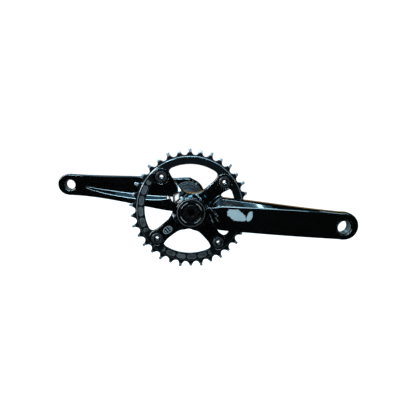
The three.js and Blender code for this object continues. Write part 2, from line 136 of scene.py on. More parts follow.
def net(values, low, step):
    """Surface nets: one vertex in every cell that the surface crosses, and a quad over every crossed edge."""
    solid = values < 0
    nx, ny, nz = (n - 1 for n in solid.shape)
    total = sum(solid[i : i + nx, j : j + ny, k : k + nz].astype(np.uint8) for i, j, k in CORNERS)
    active = (total > 0) & (total < 8)
    where = np.argwhere(active)
    ids = np.full(active.shape, -1)
    ids[active] = np.arange(len(where))
    at_corner = [values[tuple((where + c).T)] for c in CORNERS]
    middle = np.zeros((len(where), 3))
    crossings = np.zeros(len(where))
    for a, b in EDGES:
        va, vb = at_corner[a], at_corner[b]
        cut = (va < 0) != (vb < 0)
        t = np.where(cut, va / np.where(cut, va - vb, 1), 0)[:, None]
        middle += np.where(cut[:, None], CORNERS[a] + t * (CORNERS[b] - CORNERS[a]), 0)
        crossings += cut
    points = low + (where + middle / crossings[:, None]) * step
    faces = []
    starts = np.argwhere(active[1:, 1:, 1:]) + 1
    for axis in range(3):
        ahead = np.zeros(3, int)
        ahead[axis] = 1
        side = [np.roll(ahead, 1), np.roll(ahead, 2)]
        here = solid[tuple(starts.T)]
        crossed = here != solid[tuple((starts + ahead).T)]
        first, here = starts[crossed], here[crossed]
        around = [first, first - side[0], first - side[0] - side[1], first - side[1]]
        quads = np.stack([ids[tuple(c.T)] for c in around], 1)
        faces.append(np.where(here[:, None], quads, quads[:, ::-1]))
    return points, np.concatenate(faces)


def skin(name, field, low, high, step, pulls=3, bend_reach=0.7):
    """A mesh of a field's surface, with every vertex pulled onto it and given the field's normal. The "edge"
    attribute is how sharply the surface bends outwards."""
    low = np.array(low, float)
    cells = np.ceil((np.array(high, float) - low) / step).astype(int) + 1
    points, faces = net(sample(field, low, cells, step), low, step)
    for _ in range(pulls):
        slope = gradient(field, points, step * 0.2)
        pull = field(points)[:, None] * slope / np.maximum((slope**2).sum(1, keepdims=True), 0.2)
        points -= np.clip(pull, -step * 0.6, step * 0.6)
    normals = gradient(field, points, step * 0.3)
    normals /= np.maximum(np.linalg.norm(normals, axis=1, keepdims=True), 1e-9)
    offsets = np.eye(3) * bend_reach
    bend = sum(field(points + s) + field(points - s) for s in offsets) / bend_reach**2
    mesh = bpy.data.meshes.new(name)
    mesh.from_pydata((points * MM).tolist(), [], faces.tolist())
    mesh.polygons.foreach_set("use_smooth", np.ones(len(faces), bool))
    mesh.normals_split_custom_set_from_vertices(normals.tolist())
    edge = mesh.attributes.new("edge", "FLOAT", "POINT")
    edge.data.foreach_set("value", np.clip(bend, -1, 1).astype(np.float32))
    made = bpy.data.objects.new(name, mesh)
    bpy.context.scene.collection.objects.link(made)
    return made


# ---- crank arms, written with o as the distance outwards from the bike's middle ----
def outer_face(x):
    return HUB_FACE + (HALF_Q - HUB_FACE) * blend(between(x, 12, 158))


def arm_beam(x, o, z, half, face_half, eye, drop, middle, inner):
    """The tapering bar of one arm with its bevels and the round eye at its end."""
    eye_joint, bevel_edge, face_edge, back_edge = 0.8, 2.2, 1.1, 2.6
    eye_x = CRANK + EYE_SHIFT
    bar = np.maximum(np.abs(z - middle) - half, x - eye_x)
    side = smooth_min(bar, np.hypot(x - eye_x, z - middle) - eye, eye_joint)
    face = o - outer_face(x)
    width = half - face_half
    bevel = (drop * side + width * face + width * drop) / np.hypot(width, drop)
    front = smooth_max(smooth_max(side, bevel, bevel_edge), face, face_edge)
    return smooth_max(front, inner - o, back_edge)


def pedal_hole(x, o, z):
    """What is cut from an eye: the threaded hole, its countersink at the back and its spot face."""
    thread, countersink, spot_face, spot_depth = 7.15, 8.6, 9.4, 1
    r = np.hypot(x - CRANK, z)
    back = HALF_Q - EYE_THICKNESS
    cone = (r - countersink + np.maximum(o - back, 0) - 0.4) * 0.7
    hole = smooth_min(r - thread, cone, 0.6)
    spot = np.maximum(r - spot_face, (HALF_Q - spot_depth) - o)
    return np.minimum(hole, spot)


def scoop(x, z, start, end, half, depth):
    """Depth of the forged channel along an arm's inner face, nothing at its blunt ends."""
    margin, bluntness, taper, floor_share, corner = 0.004, 0.33, 0.35, 0.36, 0.2
    t = between(x, start, end)
    end_value = math.sin(math.pi * margin) ** bluntness
    arch = np.sin(math.pi * lerp(margin, 1 - margin, t)) ** bluntness
    fullness = (arch - end_value) / (1 - end_value)
    width = half * fullness * (1 - taper * t)
    rise = (np.abs(z) / np.maximum(width, 0.1) - floor_share) / (1 - floor_share)
    wall = 1 - smooth_min(smooth_max(rise, 0, corner), 1, corner)
    return depth * fullness * wall


def spider_place(x, z):
    """Distances along and across the nearest of the four spider arms."""
    u = np.abs(x + z) * math.sqrt(0.5)
    v = np.abs(x - z) * math.sqrt(0.5)
    return np.maximum(u, v), np.minimum(u, v)


def cross_outline(along, across):
    """Outline of the spider arms with round corners between them and a round tab at each bolt."""
    half_width, fillet, tab_radius = 8.9, 20.0, 10.3
    centre = half_width + fillet
    corner = fillet - np.hypot(along - centre, across - centre)
    cross = np.where(along < centre, corner, across - half_width)
    tab = np.hypot(along - BOLT_CIRCLE, across) - tab_radius
    return smooth_min(smooth_max(cross, along - BOLT_CIRCLE, 1.0), tab, 3.0)


def spider_top(along, across):
    """How far out the spider's front lies: high at its root, level at the tabs, slightly crowned across."""
    root, level_from, tab_top, root_rise = 19.2, 43, 54.5, 10
    fall_inside_root, crown = 1.3, 80
    slope = between(along, root, level_from)
    rise = root_rise * (1 - slope) ** 2
    return tab_top + rise - fall_inside_root * np.maximum(root - along, 0) - across**2 / crown


def drive_arm(p):
    spider_back, shoulder, everywhere = 49.7, 62, 50
    x, o, z = p[:, 0], -p[:, 1], p[:, 2]
    r = np.hypot(x, z)
    out = between(x, 30, CRANK)
    bar_half = lerp(19.7, 16, blend(between(x, 20, 185)))
    half = bar_half - 11 * (1 - blend(between(x, 17, 36)))
    face_half = lerp(7.6, 14.4, blend(between(x, 10, 135)))
    beam = arm_beam(
        x, o, z,
        half=half,
        face_half=np.minimum(face_half, half - 0.8),
        eye=16.2,
        drop=lerp(6.5, 2.3, out**0.8),
        middle=0.6 * between(x, 60, 150),
        inner=lerp(51, HALF_Q - EYE_THICKNESS, blend(between(x, 5, 172))) + scoop(x, z, 80, 156, 12, 4),
    )
    beam = np.maximum(beam, -x)

    cone_radius, cone_run, cone_fall, cone_length = 17.6, 3.4, 9.3, 9.9
    cone = ((r - cone_radius) * cone_fall + (o - HUB_FACE) * cone_run) / cone_length
    boss = smooth_max(cone, o - HUB_FACE, 1.2)
    along, across = spider_place(x, z)
    outline = cross_outline(along, across)
    legs = smooth_max(outline, (o - spider_top(along, across)) * 0.8, 1.4)
    body = smooth_min(smooth_min(boss, beam, 1.0), legs, 4.5)

    bar = np.where(x > 0, np.abs(z) - bar_half - 1.3, everywhere)
    bar = np.maximum(bar, 10 - x)
    body = smooth_max(body, smooth_min(outline - 0.2, bar, 3), 0.8)
    body = smooth_max(body, spider_back - o, 1.2)

    from_bolt = np.hypot(along - BOLT_CIRCLE, across)
    spindle_hole = np.maximum(r - HUB_HOLE, o - shoulder - 0.5)
    cap_thread = np.maximum(r - 15.2, shoulder - o)
    bolt_spot = np.maximum(from_bolt - 8.3, 53.3 - o)
    cuts = [spindle_hole, cap_thread, bolt_spot, from_bolt - BOLT_HOLE, pedal_hole(x, o, z)]
    return smooth_max(body, -np.min(cuts, 0), 0.7)


def non_drive_arm(p):
    boss_radius, cone_radius, step_height = 25.5, 19.5, 0.32
    x, o, z = -p[:, 0], p[:, 1], p[:, 2]
    r = np.hypot(x, z)
    along = blend(between(x, 3, 165))
    beam = arm_beam(
        x, o, z,
        half=lerp(25.3, 15.7, along),
        face_half=lerp(17, 13.5, along),
        eye=15.5,
        drop=lerp(7, 2.3, along),
        middle=1.0 * np.sin(math.pi * between(x, 30, CRANK)),
        inner=lerp(53.4, HALF_Q - EYE_THICKNESS, blend(between(x, 5, 172))) + scoop(x, z, 18, 153, 14, 5.2),
    )
    beam = np.maximum(beam, -x)
    turned_steps = step_height * np.cos(2 * math.pi * (r - cone_radius) / HUB_STEPS)
    cone = (r - cone_radius - (o - NON_DRIVE_BACK) + turned_steps) * 0.6
    boss = smooth_max(smooth_max(r - boss_radius, cone, 1.6), o - HUB_FACE, 3.0)
    front_and_back = np.maximum(NON_DRIVE_BACK - o, o - outer_face(x))
    body = smooth_max(smooth_min(boss, beam, 8.0), front_and_back, 0.8)
    recess = np.maximum(r - 13.6, HUB_FACE - 2 - o)
    cuts = [r - HUB_HOLE, recess, pedal_hole(x, o, z)]
    return smooth_max(body, -np.min(cuts, 0), 0.7)


# ---- chainring ----
def tooth_outline(a, b, tip):
    """Outline of the rim over one tooth, from distances out along the tooth and sideways from its middle."""
    roller, flank_start, half_base, half_crown, flank_height = 4, 67.43, 2.46, 1.75, 2.6
    half_pitch = math.pi / TEETH
    gap = np.hypot(a - PITCH_RADIUS * math.cos(half_pitch), b - PITCH_RADIUS * math.sin(half_pitch))
    rise = a - flank_start
    waist = half_crown + (half_base - half_crown) * np.maximum(1 - rise / flank_height, 0) ** 1.6
    flank = (b - np.where(rise < 0, half_base, waist)) * 0.9
    tooth = smooth_max(np.minimum(flank, rise), a - tip, 1.3)
    return smooth_max(roller - gap, tooth, 0.5)


def chainring(p):
    """A narrow-wide ring: every second tooth is thick and a little shorter."""
    half_body, body_radius, window_radius, tab_radius = 2, 63.2, 54, 9.3
    x, z = p[:, 0], p[:, 2]
    o = np.abs(-p[:, 1] - RING_MIDDLE)
    r = np.hypot(x, z)
    pitch = 2 * math.pi / TEETH
    angle = np.arctan2(z, x)
    number = np.round(angle / pitch)
    wide = np.mod(number, 2) == 0
    turn = angle - number * pitch
    a, b = r * np.cos(turn), np.abs(r * np.sin(turn))
    tip = np.where(wide, 70.7, 72.3)
    outline = tooth_outline(a, b, tip)
    thin = between(a, 65.5, tip)
    thickness = np.where(wide, lerp(1.85, 1.0, thin**2), lerp(1.05, 0.6, thin**2))
    teeth = np.maximum(smooth_max(outline, o - thickness, 0.7), 62.4 - r)
    legs = [math.radians(k) for k in BOLT_ANGLES]
    spots = [(BOLT_CIRCLE * math.cos(k), BOLT_CIRCLE * math.sin(k)) for k in legs]
    from_bolt = np.min([np.hypot(x - bolt_x, z - bolt_z) for bolt_x, bolt_z in spots], 0)
    window = smooth_min(window_radius - r, from_bolt - tab_radius, 7)
    body = smooth_max(smooth_max(r - body_radius, o - half_body, 0.9), -half_body - o, 0.1)
    made = smooth_min(body, teeth, 0.9)
    return smooth_max(smooth_max(made, window, 0.9), BOLT_HOLE - from_bolt, 0.5)


# ---- turned pieces ----
def lathe(name, rings, bevel, sharp=28):
    """A closed solid through rings of points in millimetres, the last joined to the first. Edges sharper than
    so many degrees are rounded."""
    sides = len(rings[0])
    faces = []
    for i in range(len(rings)):
        here, ahead = i * sides, (i + 1) % len(rings) * sides
        for j in range(sides):
            beside = (j + 1) % sides
            faces.append((here + j, here + beside, ahead + beside, ahead + j))
    mesh = bpy.data.meshes.new(name)
    mesh.from_pydata([(x * MM, y * MM, z * MM) for ring in rings for x, y, z in ring], [], faces)
    mesh.polygons.foreach_set("use_smooth", np.ones(len(faces), bool))
    work = bmesh.new()
    work.from_mesh(mesh)
    bmesh.ops.remove_doubles(work, verts=work.verts, dist=1e-6)
    bmesh.ops.recalc_face_normals(work, faces=work.faces)
    work.to_mesh(mesh)
    work.free()
    made = bpy.data.objects.new(name, mesh)
    bpy.context.scene.collection.objects.link(made)
    rounding = made.modifiers.new("rounding", "BEVEL")
    rounding.width = bevel * MM
    rounding.segments = 2
    rounding.limit_method = "ANGLE"
    rounding.angle_limit = math.radians(sharp)
    rounding.harden_normals = True
    return made


def turned(name, profile, sides=96, centre=(0, 0), bevel=0.25, hexed=()):
    """Turns a closed profile of (radius, y) about the spindle's direction. Profile points listed in hexed
    follow a hexagon with that distance across flats instead of a circle."""
    sixth = math.pi / 3
    rings = []
    for index, (radius, y) in enumerate(profile):
        ring = []
        for i in range(sides):
            angle = 2 * math.pi * i / sides
            reach = radius
            if index in hexed:
                reach /= math.cos((angle + sixth / 2) % sixth - sixth / 2)
            ring.append((centre[0] + reach * math.cos(angle), y, centre[1] + reach * math.sin(angle)))
        rings.append(ring)
    return lathe(name, rings, bevel)


def cup(name, side):
    """A threaded cup whose flange has sixteen rounded notches for its tool."""
    sides, notches, flange = 192, 16, 19.8
    notch_half, notch_depth, notch_floor = 1.7, 1.15, 18.62
    notch_pitch = 2 * math.pi / notches
    profile = [
        (15.6, 26.5), (16.8, 26.5), (17.4, 27.1), (17.4, 36.5), (flange, 36.5), (flange, 39.2),
        (flange, 46.3), (19.2, 46.9), (18.55, 46.9), (18.55, 39.4), (15.6, 39.4),
    ]
    rings = []
    for radius, y in profile:
        notched = radius > 19 and y > 39
        ring = []
        for i in range(sides):
            angle = 2 * math.pi * i / sides
            reach = radius
            if notched:
                away = abs((angle / notch_pitch) % 1 - 0.5) * notch_pitch * flange
                reach -= notch_depth * math.sqrt(max(0.0, 1 - (away / notch_half) ** 2))
                reach = max(reach, notch_floor)
            ring.append((reach * math.cos(angle), side * y, reach * math.sin(angle)))
        rings.append(ring)
    return lathe(name, rings, bevel=0.18, sharp=30)


# ---- node helpers ----
class Tree:
    """A material's node tree, with one short call for each kind of node."""

    def __init__(self, name):
        self.material = bpy.data.materials.new(name)
        self.material.use_nodes = True
        self.tree = self.material.node_tree
        self.shader = self.tree.nodes["Principled BSDF"]
        self.place = self.add("ShaderNodeTexCoord").outputs["Object"]

    def add(self, kind, **settings):
        made = self.tree.nodes.new(kind)
        for key, value in settings.items():
            setattr(made, key, value)
        return made

    def put(self, socket, value):
        if isinstance(value, bpy.types.NodeSocket):
            self.tree.links.new(value, socket)
        elif value is not None:
            socket.default_value = value

    def math(self, operation, a, b=None, c=None):
        made = self.add("ShaderNodeMath", operation=operation)
        for socket, value in zip(made.inputs, (a, b, c)):
            self.put(socket, value)
        return made.outputs[0]

    def times(self, first, *others):
        for other in others:
            first = self.math("MULTIPLY", first, other)
        return first

    def most(self, first, *others):
        for other in others:
            first = self.math("MAXIMUM", first, other)
        return first

    def length(self, a, b):
        squares = self.math("ADD", self.math("MULTIPLY", a, a), self.math("MULTIPLY", b, b))
        return self.math("SQRT", squares)

    def step(self, value, low, high, to_low=0.0, to_high=1.0):
        made = self.add("ShaderNodeMapRange", interpolation_type="SMOOTHSTEP")
        for socket, item in zip(made.inputs, (value, low, high, to_low, to_high)):
            self.put(socket, item)
        return made.outputs[0]

    def band(self, value, middle, full, none):
        """1 where the value is within full of the middle, fading to 0 at none."""
        away = self.math("ABSOLUTE", self.math("SUBTRACT", value, middle))
        return self.step(away, full, none, 1.0, 0.0)

    def noise(self, scale, detail=3.0, rough=0.5, vector=None):
        made = self.add("ShaderNodeTexNoise")
        self.put(made.inputs["Vector"], vector or self.place)
        for key, item in (("Scale", scale), ("Detail", detail), ("Roughness", rough)):
            made.inputs[key].default_value = item
        return made.outputs["Fac"]

    def stretch(self, scale):
        made = self.add("ShaderNodeVectorMath", operation="MULTIPLY")
        self.put(made.inputs[0], self.place)
        self.put(made.inputs[1], scale)
        return made.outputs[0]

    def mix(self, factor, a, b):
        made = self.add("ShaderNodeMix", data_type="RGBA")
        self.put(made.inputs["Factor"], factor)
        self.put(made.inputs["A"], a)
        self.put(made.inputs["B"], b)
        return made.outputs["Result"]

    def blend(self, factor, a, b):
        return self.math("MULTIPLY_ADD", factor, self.math("SUBTRACT", b, a), a)

    def separate(self):
        made = self.add("ShaderNodeSeparateXYZ")
        self.put(made.inputs[0], self.place)
        return made.outputs

    def place_mm(self):
        return [self.math("MULTIPLY", axis, PER_METRE) for axis in self.separate()]

    def combine(self, x, y, z):
        made = self.add("ShaderNodeCombineXYZ")
        for socket, value in zip(made.inputs, (x, y, z)):
            self.put(socket, value)
        return made.outputs[0]

    def attribute(self, name):
        return self.add("ShaderNodeAttribute", attribute_name=name).outputs["Fac"]

    def bump(self, height, distance, strength):
        made = self.add("ShaderNodeBump")
        made.inputs["Strength"].default_value = strength
        made.inputs["Distance"].default_value = distance
        self.put(made.inputs["Height"], height)
        return made.outputs[0]

    def finish(self, **sockets):
        for name, value in sockets.items():
            self.put(self.shader.inputs[name.replace("_", " ")], value)
        return self.material


def rgb(r, g, b):
    return (r, g, b, 1.0)


def polar(t, beside=0.0):
    """Distance in millimetres from the spindle's axis, or one beside it along X, and the angle round it."""
    x, _, z = t.place_mm()
    x = t.math("SUBTRACT", x, beside)
    return t.length(x, z), t.math("ARCTAN2", z, x)


def leaning(t, x, z, centre, lean):
    """Distances along and across a direction in the X-Z plane, from a point on it."""
    c, s = math.cos(lean), math.sin(lean)
    dx, dz = t.math("SUBTRACT", x, centre[0]), t.math("SUBTRACT", z, centre[1])
    u = t.math("ADD", t.math("MULTIPLY", dx, c), t.math("MULTIPLY", dz, s))
    v = t.math("SUBTRACT", t.math("MULTIPLY", dz, c), t.math("MULTIPLY", dx, s))
    return u, v


def scratch(t, x, z, middle, lean, length, width):
    """A thin straight mark, fading at both ends."""
    u, v = leaning(t, x, z, middle, lean)
    across = t.step(t.math("ABSOLUTE", v), width * 0.4, width, 1.0, 0.0)
    return t.times(across, t.step(t.math("ABSOLUTE", u), length * 0.3, length * 0.5, 1.0, 0.0))


def oval(t, x, z, centre, radii, lean, power=2.0):
    """How far out from an oval's middle a point lies, 1 being on its edge; a high power squares it off."""
    u, v = leaning(t, x, z, centre, lean)
    parts = [
        t.math("POWER", t.math("ABSOLUTE", t.math("DIVIDE", part, radius)), power)
        for part, radius in ((u, radii[0]), (v, radii[1]))
    ]
    return t.math("POWER", t.math("ADD", *parts), 1 / power)


# ---- marks on the arms' paint ----
def chips(t, x, z):
    """Two ragged patches of bare metal on the drive arm's face, beyond the hub."""
    wander = t.times(t.math("SUBTRACT", t.noise(150, 5, 0.65), 0.5), 1.3)
    big = oval(t, x, z, (52, 2), (12.5, 6), math.radians(-16), 1.7)
    small = oval(t, x, z, (66.5, 2), (6.6, 3), math.radians(72), 1.6)
    return t.step(t.math("ADD", t.math("MINIMUM", big, small), wander), 0.97, 1.02, 1.0, 0.0)


def scratches(t, x, z, count=7, seed=11):
    """Broken scratches between the hub and the chips."""
    chance = random.Random(seed)
    lines = []
    for _ in range(count):
        middle = (chance.uniform(22, 36), chance.uniform(-8, 6))
        lean = math.radians(chance.uniform(-64, -42))
        length, width = chance.uniform(3, 11), chance.uniform(0.14, 0.24)
        lines.append(scratch(t, x, z, middle, lean, length, width))
    return t.times(t.most(*lines), t.step(t.noise(700, 2, 0.6), 0.35, 0.6))


def specks(t, x):
    """Pale dots around the chips."""
    grains = t.step(t.noise(330, 2, 0.4), 0.76, 0.78)
    return t.times(grains, t.band(x, 52.0, 30.0, 60.0), 0.35)


def badge(t, x, y, z):
    """A plain oval with bars on the lower left spider arm."""
    middle, lean, bar_spacing = (-25, -25), math.radians(45), 3.2
    out = oval(t, x, z, middle, (6.4, 4.4), lean)
    border = t.band(out, 0.88, 0.06, 0.1)
    u, _ = leaning(t, x, z, middle, lean)
    share = t.math("SUBTRACT", t.math("FRACT", t.math("DIVIDE", u, bar_spacing)), 0.5)
    bars = t.step(t.math("ABSOLUTE", share), 0.28, 0.36)
    bars = t.times(bars, t.step(out, 0.62, 0.7, 1.0, 0.0))
    return t.times(t.most(border, bars), t.step(y, -53.5, -54.0, 0.0, 0.5))


def hub_rings_bare_and_highlight(t, y):
    """Lighter turned rings on the steps behind the non-drive hub, partly bare metal and partly a painted
    highlight.
    """
    r, _ = polar(t)
    rings = t.step(t.math("SINE", t.times(r, 2 * math.pi / HUB_STEPS)), -0.3, 0.6, 0.06, 0.42)
    return t.times(t.step(r, 21.6, 22.4, 1.0, 0.0), t.step(y, 53.5, 54.5, 1.0, 0.0), rings)


# ---- materials ----
def arm_paint(name, drive):
    """Gloss black over aluminium with faint handling marks. The drive arm's is chipped and scratched."""
    t = Tree(name)
    x, y, z = t.place_mm()
    smear = t.noise(38, 5, 0.6, t.stretch((0.35, 1.0, 1.0)))
    fine = t.noise(900, 2, 0.5)
    streaks = t.noise(260, 3, 0.7, t.stretch((0.06, 1.0, 1.0)))
    rough = t.math("ADD", t.step(smear, 0.35, 0.75, 0.035, 0.11), t.step(streaks, 0.6, 0.8, 0.0, 0.10))
    color = t.mix(t.step(smear, 0.4, 0.8), rgb(0.0005, 0.0006, 0.0006), rgb(0.0012, 0.0014, 0.0015))
    bare = t.times(t.step(t.attribute("edge"), 0.45, 0.8), t.step(t.noise(420, 4, 0.7), 0.6, 0.68), 0.8)
    height = t.times(fine, 0.04)
    if drive:
        front = t.step(y, -65.0, -66.0)
        flake = t.times(chips(t, x, z), front)
        bare = t.most(bare, flake, t.times(scratches(t, x, z), front), specks(t, x), badge(t, x, y, z))
        height = t.math("SUBTRACT", height, t.times(flake, 0.6))
    else:
        # Rings on the hub steps: partly bare metal, partly a painted highlight.
        bare = t.most(bare, hub_rings_bare_and_highlight(t, y))
    metal = t.mix(t.noise(150, 6, 0.7), rgb(0.12, 0.175, 0.20), rgb(0.29, 0.375, 0.41))
    hole_r, hole_turn = polar(t, CRANK if drive else -CRANK)
    groove = t.math("SINE", t.math("ADD", t.times(y, 2 * math.pi / PEDAL_THREAD_PITCH), hole_turn))
    threaded = t.step(hole_r, 7.5, 8.0, 1.0, 0.0)
    bare = t.most(bare, t.times(threaded, 0.3 if drive else 0.15))
    height = t.math("ADD", height, t.times(threaded, groove, 0.4))
    return t.finish(
        Base_Color=t.mix(bare, color, metal),
        Metallic=t.times(bare, 0.3),
        Roughness=t.blend(bare, rough, 0.42),
        Coat_Weight=t.math("SUBTRACT", 1.0, bare),
        Coat_Roughness=0.03,
        Coat_IOR=1.6,
        IOR=1.55,
        Normal=t.bump(height, 0.0003, 0.6),
    )


def slot_distance(t, r, turn, slots=28, circle=58.4, half_length=2.9):
    """Distance from the middle line of the nearest of the slots round the chainring."""
    share = t.math("SUBTRACT", t.math("FRACT", t.times(turn, slots / (2 * math.pi))), 0.5)
    sideways = t.math("ABSOLUTE", t.times(share, 2 * math.pi * circle / slots))
    beyond = t.most(t.math("SUBTRACT", sideways, half_length), 0.0)
    return t.length(beyond, t.math("SUBTRACT", r, circle))


def ring_finish():
    """Black anodised machined aluminium with concentric tool marks, slots on its left and at the bottom, worn
    teeth tips and edges, and a painted highlight: a silver rim line, with the rim and the teeth tips painted
    lighter towards the top of the ring."""
    t = Tree("black_ring")
    r, turn = polar(t)
    z = t.separate()[2]
    lathe_marks = t.noise(1.0, 4, 0.6, t.combine(t.times(r, 3.2), t.times(turn, 1.4), 0.0))
    blotch = t.noise(95, 4, 0.6)
    from_slot = slot_distance(t, r, turn)
    left = t.band(t.math("ABSOLUTE", turn), math.pi, 0.52, 0.56)
    below = t.band(turn, -math.pi / 2, 0.50, 0.54)
    slotted = t.most(left, below)
    slots = t.times(t.step(from_slot, 2.3, 2.7, 1.0, 0.0), slotted)
    lips = t.times(t.band(from_slot, 2.4, 0.1, 0.4), slotted)
    tip = t.step(t.math("ADD", r, t.times(t.noise(330, 4, 0.6), 2.4)), 68.6, 69.8)
    edge = t.times(t.step(t.attribute("edge"), 0.5, 0.9), t.step(t.noise(240, 4, 0.7), 0.5, 0.66))
    # Painted highlight: a silver line round the edge of the ring's body.
    rim = t.times(t.step(r, 62.3, 62.9), t.step(r, 63.2, 63.6, 1.0, 0.0))
    # The tips' bare metal and the edge and slot-lip wear are wear; the rim line is a painted highlight, and
    # the tips and rim are painted lighter towards the top as a painted highlight.
    worn_and_painted_highlight = t.most(
        t.times(tip, t.step(z, -0.05, 0.03, 0.5, 1.0)),
        t.times(t.most(edge, lips), 0.35),
        t.times(rim, t.step(z, -0.03, 0.01, 0.12, 0.8)),
    )
    dark = t.mix(t.step(lathe_marks, 0.3, 0.7), rgb(0.005, 0.007, 0.008), rgb(0.018, 0.024, 0.028))
    dark = t.mix(t.times(slots, t.step(blotch, 0.35, 0.65, 0.35, 1.0)), dark, rgb(0.17, 0.20, 0.21))
    silver = t.mix(blotch, rgb(0.42, 0.50, 0.58), rgb(0.72, 0.80, 0.86))
    height = t.math("ADD", t.times(lathe_marks, 0.25), t.times(slots, -0.8))
    return t.finish(
        Base_Color=t.mix(worn_and_painted_highlight, dark, silver),
        Metallic=0.85,
        Roughness=t.math("ADD", t.step(lathe_marks, 0.2, 0.8, 0.24, 0.42), t.times(slots, 0.1)),
        Normal=t.bump(height, 0.0002, 0.5),
    )


def turned_finish(name, dark, light, metallic, rough, wear=0.0):
    """A turned surface: fine lines round its axis, blotches, and rubbed patches where wear is above zero."""
    t = Tree(name)
    r, turn = polar(t)
    round_axis = t.combine(t.times(r, 5.0), t.times(turn, 0.8), t.separate()[1])
    lines = t.noise(1.0, 3, 0.6, round_axis)
    blotch = t.noise(240, 4, 0.6)
    color = t.mix(t.times(t.math("ADD", lines, blotch), 0.5), rgb(*dark), rgb(*light))
    rubbed = t.times(t.step(t.noise(520, 4, 0.7), 0.56, 0.66), wear)
    return t.finish(
        Base_Color=t.mix(rubbed, color, rgb(0.55, 0.57, 0.6)),
        Metallic=metallic,
        Roughness=t.step(blotch, 0.3, 0.7, rough * 0.8, rough * 1.25),
        Normal=t.bump(t.math("ADD", lines, t.times(blotch, 0.5)), 0.00012, 0.35),
    )


def bolt_finish():
    """Dark turned bolt heads with painted highlight rings round each bolt's own middle, on the head's face
    and outer edge.
    """
    t = Tree("dark_bolt")
    x, _, z = t.place_mm()
    u = t.times(t.math("ABSOLUTE", t.math("ADD", x, z)), math.sqrt(0.5))
    v = t.times(t.math("ABSOLUTE", t.math("SUBTRACT", x, z)), math.sqrt(0.5))
    r = t.length(t.math("SUBTRACT", t.most(u, v), BOLT_CIRCLE), t.math("MINIMUM", u, v))
    lines = t.noise(1.0, 3, 0.6, t.combine(t.times(r, 4.0), 0.0, 0.0))
    blotch = t.noise(300, 4, 0.6)
    # Painted highlight: lighter rings on the head's face and at its outer edge.
    groove = t.band(r, 4.7, 0.2, 0.45)
    edge = t.step(r, 6.0, 6.3)
    light = t.times(t.most(groove, edge), t.step(blotch, 0.3, 0.6, 0.25, 0.65))
    color = t.mix(lines, rgb(0.003, 0.0035, 0.004), rgb(0.014, 0.016, 0.018))
    return t.finish(
        Base_Color=t.mix(light, color, rgb(0.20, 0.23, 0.25)),
        Metallic=0.8,
        Roughness=t.step(blotch, 0.3, 0.7, 0.24, 0.38),
        Normal=t.bump(lines, 0.0001, 0.4),
    )


def moulded_finish(name, dark, light, rough):
    """Moulded plastic or rubber: a fine grain and soft blotches."""
    t = Tree(name)
    grain = t.noise(1400, 3, 0.6)
    blotch = t.noise(120, 4, 0.6)
    return t.finish(
        Base_Color=t.mix(blotch, rgb(*dark), rgb(*light)),
        Metallic=0.0,
        Roughness=t.step(blotch, 0.3, 0.7, rough * 0.85, min(rough * 1.15, 1.0)),
        Normal=t.bump(grain, 0.0001, 0.4),
    )


def cap_finish(ticks_per_radian=11.0):
    """Black anodised cap with a light outer rim and four sets of plain tick marks round its face."""
    t = Tree("black_cap")
    r, turn = polar(t)
    y = t.separate()[1]
    lines = t.noise(1.0, 3, 0.6, t.combine(t.times(r, 6.0), t.times(turn, 0.8), 0.0))
    face = t.step(y, -0.0694, -0.0697)
    arc = t.band(t.math("FRACT", t.math("DIVIDE", turn, math.pi / 2)), 0.5, 0.24, 0.27)
    ticks = t.band(t.math("FRACT", t.times(turn, ticks_per_radian)), 0.5, 0.28, 0.36)
    ring = t.times(t.step(r, 11.8, 11.95), t.step(r, 12.45, 12.6, 1.0, 0.0))
    color = t.mix(lines, rgb(0.0012, 0.0013, 0.0013), rgb(0.004, 0.0045, 0.0045))
    color = t.mix(t.times(arc, ticks, ring, face, 0.9), color, rgb(0.55, 0.62, 0.66))
    rim = t.times(t.step(r, 15.35, 15.6), t.step(t.noise(200, 3, 0.6), 0.3, 0.6, 0.5, 1.0), 0.4)
    return t.finish(
        Base_Color=t.mix(rim, color, rgb(0.45, 0.5, 0.54)),
        Metallic=0.6,
        Specular_IOR_Level=0.25,
        Roughness=t.step(lines, 0.3, 0.7, 0.22, 0.38),
        Normal=t.bump(lines, 0.0001, 0.4),
    )


FINISHES = {
    "black_ring": ring_finish(),
    "black_cap": cap_finish(),
    "dark_fastener": turned_finish(
        "dark_fastener", (0.003, 0.003, 0.003), (0.012, 0.012, 0.013), 0.8, 0.3, wear=0.12
    ),
    "steel": turned_finish("steel", (0.42, 0.43, 0.45), (0.66, 0.67, 0.7), 1.0, 0.26),
    "black_cup": turned_finish("black_cup", (0.05, 0.06, 0.07), (0.12, 0.145, 0.165), 0.8, 0.27, wear=0.12),
    "black_plastic": moulded_finish("black_plastic", (0.006, 0.006, 0.007), (0.014, 0.014, 0.016), 0.5),
    "seal_rubber": moulded_finish("seal_rubber", (0.01, 0.01, 0.01), (0.022, 0.022, 0.022), 0.8),
}
DRIVE_PAINT = arm_paint("gloss_black_drive_arm", True)
NON_DRIVE_PAINT = arm_paint("gloss_black_non_drive_arm", False)
BOLT_HEAD = bolt_finish()
BARE_SOCKET = turned_finish("bare_socket", (0.10, 0.12, 0.13), (0.36, 0.40, 0.42), 1.0, 0.3)

SLOT_OF = {s["node"]: s["material_slot"] for s in frame["record"]["subparts"]}
BODY_OF = {n: body for body, nodes in frame["record"]["behaviour"]["bodies"].items() for n in nodes}


def stand_for(piece, node, finish=None):
    """Puts a piece in a CAD node's place, on its body and in its finish."""
    if not piece.data.materials:
        piece.data.materials.append(finish or FINISHES[SLOT_OF[node]])
    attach(piece, BODY_OF[node])
    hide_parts(node)


def turn_node(node, profile, **settings):
    stand_for(turned(node + "_turned", profile, **settings), node)


# ---- arms and chainring ----
ARM_STEP = 0.8
RING_STEP = 0.5
RING_REACH, RING_HALF = 74, 3.2  # its sampled box, from the spindle and from the ring's middle plane

